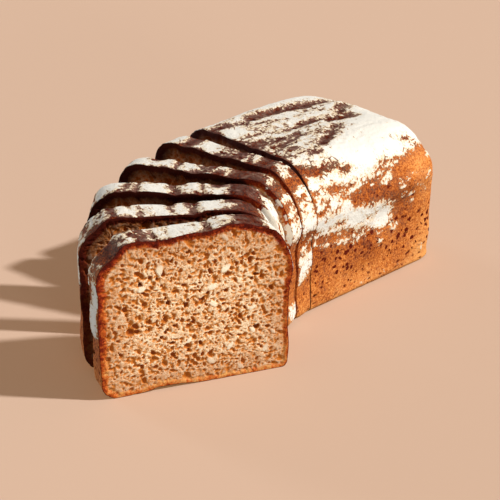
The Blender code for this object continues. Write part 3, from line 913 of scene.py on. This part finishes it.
def floured_rye_crust():
    """Rye crust, baked dull and hard, dusted with flour before the oven.

    The tone runs from the orange foot to the dark plum crown, clouded and specked where starch
    darkened unevenly. The walls are dotted with blisters that burst and baked dark inside. Flour lies
    where it was dusted, cracked into plates where the crown rose, and its edge is broken up by its
    own grain of about half a millimetre, drawn as coarse as the render can show. A thin film of it
    hazes the bare crown.
    """
    material = bpy.data.materials.new("floured_rye_crust")
    material.use_nodes = True
    tree = material.node_tree
    shader = tree.nodes["Principled BSDF"]
    place = add(tree, "TexCoord").outputs["Object"]
    flour, tone, pit, blistered = [
        add(tree, "Attribute", attribute_name=name).outputs["Fac"]
        for name in ("flour", "tone", "pit", "blistered")
    ]
    cloud, speck, grit, tatter = [
        add(tree, "TexNoise", {
            "Vector": place, "Scale": 1.0 / size, "Detail": detail, "Roughness": roughness,
        }).outputs["Fac"]
        for size, detail, roughness in (
            (5.0 * MM, 4.0, 0.65), (1.7 * MM, 2.0, 0.6), (0.9 * MM, 1.0, 0.6), (3.6 * MM, 3.0, 0.6),
        )
    ]

    # Bare crust: the tone of the baking, clouded, specked and gritty, from orange to plum
    clouded = add(tree, "Math", {0: cloud, 1: 0.6, 2: tone}, operation="MULTIPLY_ADD").outputs[0]
    specked = add(tree, "Math", {0: speck, 1: 0.8, 2: clouded}, operation="MULTIPLY_ADD").outputs[0]
    gritty = add(tree, "Math", {0: grit, 1: 1.1, 2: specked}, operation="MULTIPLY_ADD").outputs[0]
    level = add(tree, "Math", {0: gritty, 1: 1.25}, operation="SUBTRACT").outputs[0]
    bare = add(tree, "ValToRGB", {"Fac": level}, stops=(
        (0.0, "DE9450"), (0.3, "C06C2E"), (0.55, "964819"), (0.78, "642411"), (1.0, "360C04"),
    )).outputs["Color"]

    # Burst blisters of the walls, 3 mm apart and mostly 0.4 to 1.4 mm across, and the mesh's pits
    bend = add(tree, "TexNoise", {"Vector": place, "Scale": 1.0 / (3.0 * MM), "Detail": 2.0})
    bent = add(tree, "Mix", {0: 1.2 * MM, 4: place, 5: bend.outputs["Color"]},
               data_type="VECTOR").outputs[1]
    blister = add(tree, "TexVoronoi", {"Vector": bent, "Scale": 1.0 / (3.0 * MM)}).outputs
    burst = add(tree, "SeparateColor", {"Color": blister["Color"]}).outputs["Red"]
    burst = add(tree, "Math", {0: burst, 1: 2.0}, operation="POWER").outputs[0]
    burst = add(tree, "Math", {0: burst, 1: blistered}, operation="MULTIPLY").outputs[0]
    burst = add(tree, "Math", {0: burst, 1: -0.42, 2: blister["Distance"]},
                operation="MULTIPLY_ADD").outputs[0]
    burst = add(tree, "MapRange", {"Value": burst, 1: 0.05, 2: 0.0}).outputs[0]
    on_wall = add(tree, "MapRange", {"Value": tone, 1: 0.85, 2: 0.62}).outputs[0]
    burst = add(tree, "Math", {0: burst, 1: on_wall}, operation="MULTIPLY").outputs[0]
    burst = add(tree, "Math", {0: burst, 1: pit}, operation="MAXIMUM").outputs[0]
    crust = add(tree, "Mix", {0: burst, 6: bare, 7: linear("561606")}, data_type="RGBA").outputs[2]

    # Flour: tatters and specks fray its edge, and cracks part it into plates about 5 mm wide
    plate_gap = add(tree, "TexVoronoi", {"Vector": bent, "Scale": 1.0 / (5.0 * MM)},
                    feature="DISTANCE_TO_EDGE").outputs["Distance"]
    crack = add(tree, "MapRange", {"Value": plate_gap, 1: 0.09, 2: 0.02, 4: 5.0}).outputs[0]
    cracked = add(tree, "MapRange", {"Value": cloud, 1: 0.5, 2: 0.62}).outputs[0]
    crack = add(tree, "Math", {0: crack, 1: cracked}, operation="MULTIPLY").outputs[0]
    edge = add(tree, "Math", {0: tatter, 1: 7.0, 2: flour}, operation="MULTIPLY_ADD").outputs[0]
    edge = add(tree, "Math", {0: speck, 1: 8.0, 2: edge}, operation="MULTIPLY_ADD").outputs[0]
    broken = add(tree, "Math", {0: edge, 1: crack}, operation="SUBTRACT").outputs[0]
    dusted = add(tree, "MapRange", {"Value": broken, 1: 7.3, 2: 7.8}).outputs[0]

    # Film of dust: clouded, thicker near the flour, rubbed off burst blisters, seen on the dark crown
    haze = add(tree, "MapRange", {"Value": cloud, 1: 0.4, 2: 0.62, 4: 0.2}).outputs[0]
    near = add(tree, "MapRange", {"Value": broken, 1: 3.0, 2: 7.4, 3: 0.22}).outputs[0]
    veil = add(tree, "Math", {0: haze, 1: near}, operation="MULTIPLY").outputs[0]
    whole = add(tree, "Math", {0: 1.0, 1: burst}, operation="SUBTRACT").outputs[0]
    veil = add(tree, "Math", {0: veil, 1: whole}, operation="MULTIPLY").outputs[0]
    on_crown = add(tree, "MapRange", {"Value": tone, 1: 0.8, 2: 1.05, 4: 3.1}).outputs[0]
    film = add(tree, "Math", {0: veil, 1: on_crown}, operation="MULTIPLY").outputs[0]
    crust = add(tree, "Mix", {0: film, 6: crust, 7: linear("AA807C")}, data_type="RGBA").outputs[2]

    # How much is white: flour or film, less the flecks where thin flour lets the crust through
    cover = add(tree, "Math", {0: dusted, 1: veil}, operation="MAXIMUM").outputs[0]
    fleck = add(tree, "MapRange", {"Value": grit, 1: 0.4, 2: 0.3, 4: 0.6}).outputs[0]
    thin = add(tree, "MapRange", {"Value": flour, 1: 5.5, 2: 3.0}).outputs[0]
    fleck = add(tree, "Math", {0: fleck, 1: thin}, operation="MULTIPLY").outputs[0]
    kept = add(tree, "Math", {0: 1.0, 1: fleck}, operation="SUBTRACT").outputs[0]
    cover = add(tree, "Math", {0: cover, 1: kept}, operation="MULTIPLY").outputs[0]
    thick = add(tree, "MapRange", {"Value": broken, 1: 7.3, 2: 10.0}).outputs[0]
    white = add(tree, "Mix", {0: thick, 6: linear("D8BA8E"), 7: linear("E3DDD2")},
                data_type="RGBA").outputs[2]
    colour = add(tree, "Mix", {0: cover, 6: crust, 7: white}, data_type="RGBA").outputs[2]
    tree.links.new(colour, shader.inputs["Base Color"])

    # Dull all over, flour the dullest, with the flour, specks and grit raised by fractions of 0.4 mm
    dull = add(tree, "MapRange", {"Value": cover, 3: 0.8, 4: 0.95}).outputs[0]
    tree.links.new(dull, shader.inputs["Roughness"])
    height = add(tree, "Math", {0: dusted, 1: 0.4, 2: speck}, operation="MULTIPLY_ADD").outputs[0]
    height = add(tree, "Math", {0: grit, 1: 0.7, 2: height}, operation="MULTIPLY_ADD").outputs[0]
    bump = add(tree, "Bump", {"Height": height, "Strength": 0.7, "Distance": 0.4 * MM})
    tree.links.new(bump.outputs["Normal"], shader.inputs["Normal"])
    shader.inputs["Metallic"].default_value = 0.0
    shader.inputs["Specular IOR Level"].default_value = 0.06
    return material


def open_rye_crumb():
    """Rye crumb: baked dough foam, sawn across, dull and a little translucent.

    The cut walls between the bubbles are pale, the bubbles' floors are smooth, glossier and
    painted orange-brown for the light that reaches them only through the crumb, and darker the
    deeper they lie: painted shade. Whole grains show as pale ovals. Towards the crust the crumb
    turns more compact and browner, and on faces shut in between slices nearly black, painted
    shade. The crust is a mottled rim, dark red-brown at the top and orange at the foot, also
    painted nearly black as shade on those faces. The saw drags a little flour over its edge.
    """
    material = bpy.data.materials.new("open_rye_crumb")
    material.use_nodes = True
    tree = material.node_tree
    shader = tree.nodes["Principled BSDF"]
    place = add(tree, "TexCoord").outputs["Object"]
    hole, rim, tone, grain, dense_and_shaded, flour = [
        add(tree, "Attribute", attribute_name=name).outputs["Fac"]
        for name in ("hole", "rim", "tone", "grain", "dense_and_shaded", "flour")
    ]
    patch, speck = [
        add(tree, "TexNoise", {
            "Vector": place, "Scale": 1.0 / size, "Detail": detail, "Roughness": roughness,
        }).outputs["Fac"]
        for size, detail, roughness in ((3.5 * MM, 4.0, 0.7), (0.8 * MM, 2.0, 0.6))
    ]

    # Foam: walls from tan to cream, and the bubbles' floors, with painted shade that is darker
    # the deeper they lie
    mixed = add(tree, "Math", {0: patch, 1: speck}, operation="ADD").outputs[0]
    paleness = add(tree, "MapRange", {"Value": mixed, 1: 0.8, 2: 1.22}).outputs[0]
    wall = add(tree, "Mix", {0: paleness, 6: linear("D08A4C"), 7: linear("FFE8C4")},
               data_type="RGBA").outputs[2]
    uneven = add(tree, "Math", {0: speck, 1: 0.5, 2: hole}, operation="MULTIPLY_ADD").outputs[0]
    depth = add(tree, "MapRange", {"Value": uneven, 1: 0.25, 2: 3.25}).outputs[0]
    bubble = add(tree, "ValToRGB", {"Fac": depth}, stops=(
        (0.0, "DC9650"), (0.25, "B86822"), (0.5, "803608"), (1.0, "2A0600"),
    )).outputs["Color"]
    in_hole = add(tree, "MapRange", {"Value": hole, 1: 0.05, 2: 0.4}).outputs[0]
    foam = add(tree, "Mix", {0: in_hole, 6: wall, 7: bubble}, data_type="RGBA").outputs[2]
    kernel = add(tree, "Math", {0: grain, 1: speck}, operation="MULTIPLY").outputs[0]
    kernel = add(tree, "MapRange", {"Value": kernel, 1: 0.05, 2: 0.35}).outputs[0]
    seeded = add(tree, "Mix", {0: kernel, 6: foam, 7: linear("FAE8CA")},
                 data_type="RGBA").outputs[2]

    # Browning towards the crust, and painted shade, nearly black, on faces shut in between slices
    painted_shade = add(tree, "MapRange", {"Value": dense_and_shaded, 1: 0.6, 2: 0.95}).outputs[0]
    brown = add(tree, "Mix", {0: painted_shade, 6: linear("A85814"), 7: linear("300A04")},
                data_type="RGBA").outputs[2]
    browned_and_shaded_crumb = add(tree, "Mix", {0: dense_and_shaded, 6: seeded, 7: brown}, data_type="RGBA").outputs[2]

    # Crust: the tone of the baking, mottled, lighter inwards, thicker where it is baked darker
    baked = add(tree, "MapRange", {"Value": tone, 1: 0.34, 2: 0.8, 4: 0.9}).outputs[0]
    baked = add(tree, "Math", {0: patch, 1: 2.2, 2: baked}, operation="MULTIPLY_ADD").outputs[0]
    baked = add(tree, "Math", {0: speck, 1: 1.4, 2: baked}, operation="MULTIPLY_ADD").outputs[0]
    baked = add(tree, "Math", {0: rim, 1: -0.16, 2: baked}, operation="MULTIPLY_ADD").outputs[0]
    baked = add(tree, "MapRange", {"Value": baked, 1: 1.1, 2: 2.75}).outputs[0]
    crust = add(tree, "ValToRGB", {"Fac": baked}, stops=(
        (0.0, "D29A58"), (0.4, "B8581C"), (0.7, "7E240A"), (1.0, "480E04"),
    )).outputs["Color"]
    # Painted shade: the rim turns nearly black on faces shut in between slices
    crust = add(tree, "Mix", {0: painted_shade, 6: crust, 7: linear("380E06")},
                data_type="RGBA").outputs[2]
    ragged = add(tree, "Math", {0: speck, 1: 1.6, 2: rim}, operation="MULTIPLY_ADD").outputs[0]
    ragged = add(tree, "Math", {0: tone, 1: -2.0, 2: ragged}, operation="MULTIPLY_ADD").outputs[0]
    in_crust = add(tree, "MapRange", {"Value": ragged, 1: 3.6, 2: 2.4}).outputs[0]
    colour = add(tree, "Mix", {0: in_crust, 6: browned_and_shaded_crumb, 7: crust}, data_type="RGBA").outputs[2]

    # Flour that the saw dragged over the edge
    smear = add(tree, "Math", {0: patch, 1: 6.0, 2: flour}, operation="MULTIPLY_ADD").outputs[0]
    smear = add(tree, "Math", {0: speck, 1: 4.0, 2: smear}, operation="MULTIPLY_ADD").outputs[0]
    smear = add(tree, "MapRange", {"Value": smear, 1: 4.8, 2: 6.0}).outputs[0]
    colour = add(tree, "Mix", {0: smear, 6: colour, 7: linear("E9E2D4")},
                 data_type="RGBA").outputs[2]
    tree.links.new(colour, shader.inputs["Base Color"])

    # Smooth floors in the bubbles, and walls torn by the saw
    gloss = add(tree, "MapRange", {"Value": in_hole, 3: 0.85, 4: 0.55}).outputs[0]
    tree.links.new(gloss, shader.inputs["Roughness"])
    bump = add(tree, "Bump", {"Height": speck, "Strength": 0.5, "Distance": 0.3 * MM})
    tree.links.new(bump.outputs["Normal"], shader.inputs["Normal"])
    shader.inputs["Metallic"].default_value = 0.0
    shader.inputs["Specular IOR Level"].default_value = 0.1
    return material


# Cells from the middle of an end to its edge, rows along the level crown and along its fall
REST_CELLS = 70
REST_ROWS = 84
END_ROWS = 60

crust_material = floured_rye_crust()
crumb_material = open_rye_crumb()

fall_length = REST_LENGTH - CROWN_FALL_START
steepness = np.linspace(0.0, END_STEEPEST, END_ROWS + 1)[1:]
falling = CROWN_FALL_START + fall_length * np.sin(steepness) ** (2.0 / CROWN_FALL_POWER)
rest_stations = np.concatenate((np.linspace(0.0, CROWN_FALL_START, REST_ROWS), falling))
rest_rows, rest_finish = crust_surface(rest_stations, 8 * REST_CELLS)
rest_ends = ((-1, True, REST_FACE, 300), (1, True, None, 0))
rest = bread_piece("loaf_rest", rest_rows, rest_finish, rest_ends)
set_down(rest, 0.0, -PLAN_MIDDLE)
rest.data.materials.append(crust_material)
rest.data.materials.append(crumb_material)
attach(rest, "root")
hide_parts("loaf")

# Slices
# Five slices sawn off square, 12 to 14 mm thick, each a ring of crust round open crumb. They have
# slid forward on their base and stay together at the right, fanned out like cards.

# Where the middle of the front face's base stands in the fan, its turn in degrees, clockwise as
# seen from above, and the slice's thickness
FAN = {
    "slice_1": (69.0 * MM, -105.4 * MM, -67.0, 14.0 * MM),
    "slice_2": (44.9 * MM, -95.4 * MM, -55.7, 14.1 * MM),
    "slice_3": (25.5 * MM, -75.4 * MM, -41.9, 13.4 * MM),
    "slice_4": (11.3 * MM, -48.0 * MM, -23.8, 11.6 * MM),
    "slice_5": (2.9 * MM, -21.8 * MM, -8.2, 13.0 * MM),
}
KERF = 0.5 * MM

# Front faces of the slices, the first in the light and the others in shade, their shade painted
# into the crumb as deep browning, and their backs
LIT_FACE = (5.5 * MM, 0.6, None)
BACK_FACE = (8.0 * MM, 0.6, None)
PAINTED_SHADE_STRENGTH = {"slice_2": 0.86, "slice_3": 0.95, "slice_4": 0.95, "slice_5": 0.95}
DRAGGED_FLOUR = {"slice_2": None, "slice_3": 4.2, "slice_4": 4.2, "slice_5": -0.5}

FRONT_SLICE_CELLS = 120
SLICE_CELLS = 100
SLICE_ROWS = 18

front_y = 0.0
for slice_name in reversed(FAN):
    slice_x, slice_y, slice_turn, thickness = FAN[slice_name]
    front_y -= thickness + KERF
    is_front = slice_name == "slice_1"
    cells = FRONT_SLICE_CELLS if is_front else SLICE_CELLS
    slice_rows, slice_finish = crust_surface(
        front_y + np.linspace(0.0, thickness, SLICE_ROWS), 8 * cells
    )
    slice_rows[..., 1] -= front_y
    seed = 100 + 10 * int(slice_name[-1])
    if is_front:
        front_face = LIT_FACE
    else:
        # A face shut in between slices: deep, strong browning that is painted shade
        front_face = (PAINTED_SHADE_DEPTH, PAINTED_SHADE_STRENGTH[slice_name], DRAGGED_FLOUR[slice_name])
    slice_ends = ((-1, False, front_face, seed), (1, is_front, BACK_FACE, seed + 5))
    piece = bread_piece("rye_" + slice_name, slice_rows, slice_finish, slice_ends)
    set_down(piece, np.radians(-slice_turn), np.array((slice_x, slice_y, 0.0)) - PLAN_MIDDLE)
    piece.data.materials.append(crust_material)
    piece.data.materials.append(crumb_material)
    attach(piece, "root")
    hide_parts(slice_name)

# Floor, light and camera
# A plain pale floor, lit by one low, fairly small lamp from the right that draws every slice's
# shadow, two weak wide ones low at the sides and an even soft fill. The floor glows a little and
# throws no light back at the bread. The camera stands where the photograph was taken from.

FLOOR_HALF_WIDTH = 25.0
FLOOR_COLOUR = "B7A090"
FLOOR_GLOW = "75512F"
FILL_STRENGTH = 0.17

# Each lamp's name, where it stands as seen from the bread, strength, width in degrees and tint
LAMPS = (
    ("studio_lamp", (0.767, 0.650, 0.876), 4.3, 3.0, (1.0, 0.985, 0.96)),
    ("side_lamp", (-1.0, -0.12, 0.08), 2.2, 14.0, (0.97, 0.98, 1.0)),
    ("side_lamp", (0.92, -0.39, 0.09), 1.6, 14.0, (1.0, 0.93, 0.84)),
)
CAMERA_PLACE = np.array((671.4, -645.3, 468.3)) * MM - PLAN_MIDDLE
CAMERA_TARGET = np.array((-30.8, 33.3, 0.0)) * MM - PLAN_MIDDLE
CAMERA_SEES = 2.0 * FLOOR_HALF_WIDTH
SENSOR_WIDTH = 36.0
FOCAL_PIXELS = 1710.0
FRAME_PIXELS = 500.0

floor_mesh = bpy.data.meshes.new("studio_floor")
half = FLOOR_HALF_WIDTH
floor_mesh.from_pydata(
    [(-half, -half, 0.0), (half, -half, 0.0), (half, half, 0.0), (-half, half, 0.0)],
    [], [(0, 1, 2, 3)],
)
studio_floor = bpy.data.objects.new("studio_floor", floor_mesh)
bpy.context.scene.collection.objects.link(studio_floor)

# Matt paint: it scatters light evenly, with hardly any sheen
paint = bpy.data.materials.new("matt_paint")
paint.use_nodes = True
paint_shader = paint.node_tree.nodes["Principled BSDF"]
paint_shader.inputs["Base Color"].default_value = linear(FLOOR_COLOUR)
# A faint glow of the paint: painted light that brightens the floor and lifts its shadows
paint_shader.inputs["Emission Color"].default_value = linear(FLOOR_GLOW)
paint_shader.inputs["Emission Strength"].default_value = 1.0
paint_shader.inputs["Roughness"].default_value = 0.9
paint_shader.inputs["Specular IOR Level"].default_value = 0.1
floor_mesh.materials.append(paint)
studio_floor.visible_diffuse = False

# All lamps are so far off that their light is parallel
for lamp_name, towards, strength, width, tint in LAMPS:
    lamp_data = bpy.data.lights.new(lamp_name, "SUN")
    lamp_data.energy = strength
    lamp_data.angle = np.radians(width)
    lamp_data.color = tint
    lamp = bpy.data.objects.new(lamp_name, lamp_data)
    lamp.rotation_euler = Vector(towards).to_track_quat("Z", "Y").to_euler()
    bpy.context.scene.collection.objects.link(lamp)

world = bpy.data.worlds.new("studio_fill")
world.use_nodes = True
world.node_tree.nodes["Background"].inputs["Color"].default_value = (1.0, 1.0, 1.0, 1.0)
world.node_tree.nodes["Background"].inputs["Strength"].default_value = FILL_STRENGTH
bpy.context.scene.world = world

camera_data = bpy.data.cameras.new("camera")
camera_data.sensor_width = SENSOR_WIDTH
camera_data.lens = SENSOR_WIDTH * FOCAL_PIXELS / FRAME_PIXELS
camera_data.clip_end = CAMERA_SEES
camera = bpy.data.objects.new("camera", camera_data)
camera.location = CAMERA_PLACE
camera.rotation_euler = Vector(CAMERA_PLACE - CAMERA_TARGET).to_track_quat("Z", "Y").to_euler()
bpy.context.scene.collection.objects.link(camera)
bpy.context.scene.camera = camera
bpy.context.scene.view_settings.view_transform = "Standard"
